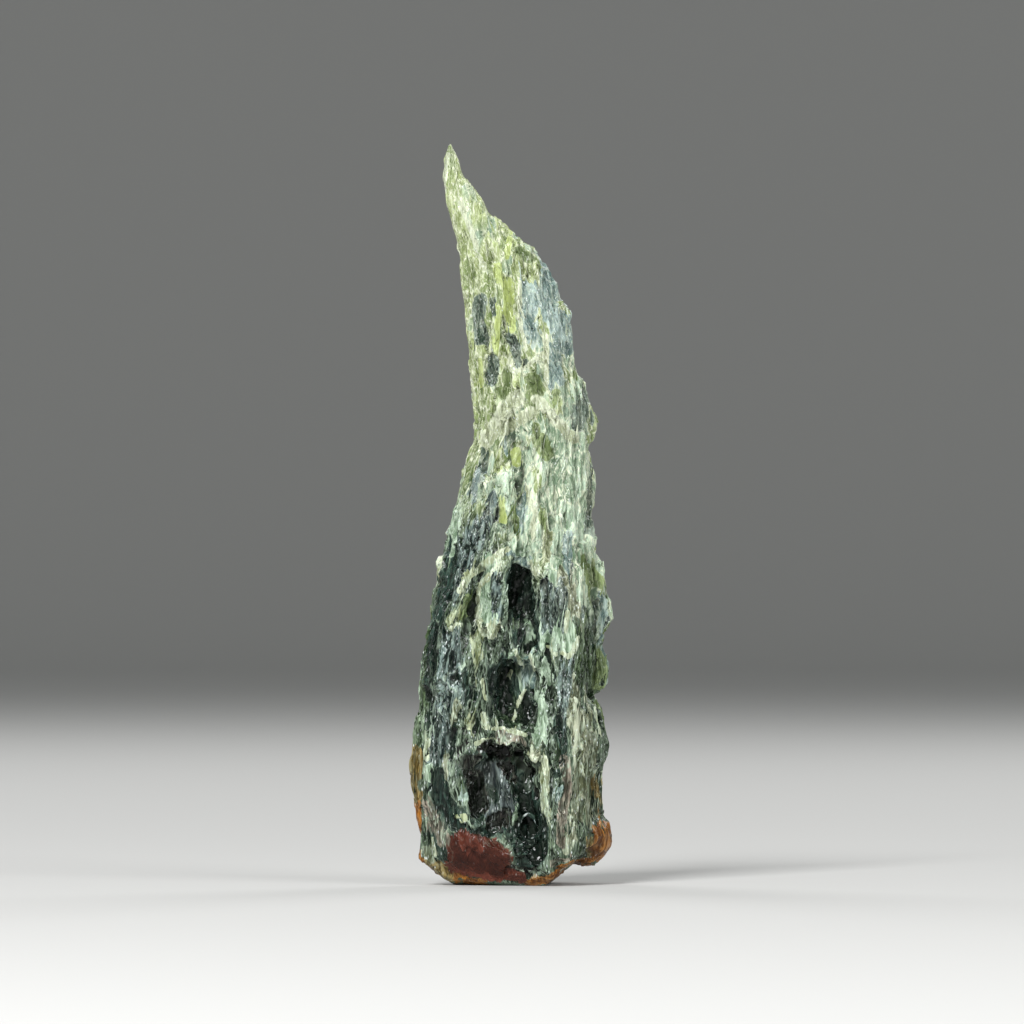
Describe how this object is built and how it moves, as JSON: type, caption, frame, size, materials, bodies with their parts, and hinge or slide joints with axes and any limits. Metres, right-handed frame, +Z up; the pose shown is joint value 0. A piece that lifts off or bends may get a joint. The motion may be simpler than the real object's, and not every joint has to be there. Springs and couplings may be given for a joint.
{
  "type": "antigorite splinter",
  "caption": "Upright splinter of fibrous green antigorite, tapering from a broken foot to a leaning point, with hollows and thin edge flakes.",
  "frame": {"origin": "on the resting face, under the middle of the stone's bounding box", "axes": "+Z up along the stone to its point, -Y out of the front with the three hollows, +X to the right as seen from the front"},
  "size_m": [0.0332, 0.0232, 0.1198],
  "materials": {
    "stone": "waxy, splintery break"
  },
  "bodies": {
    "root": {"antigorite_stone": "stone"}
  },
  "joints": []
}
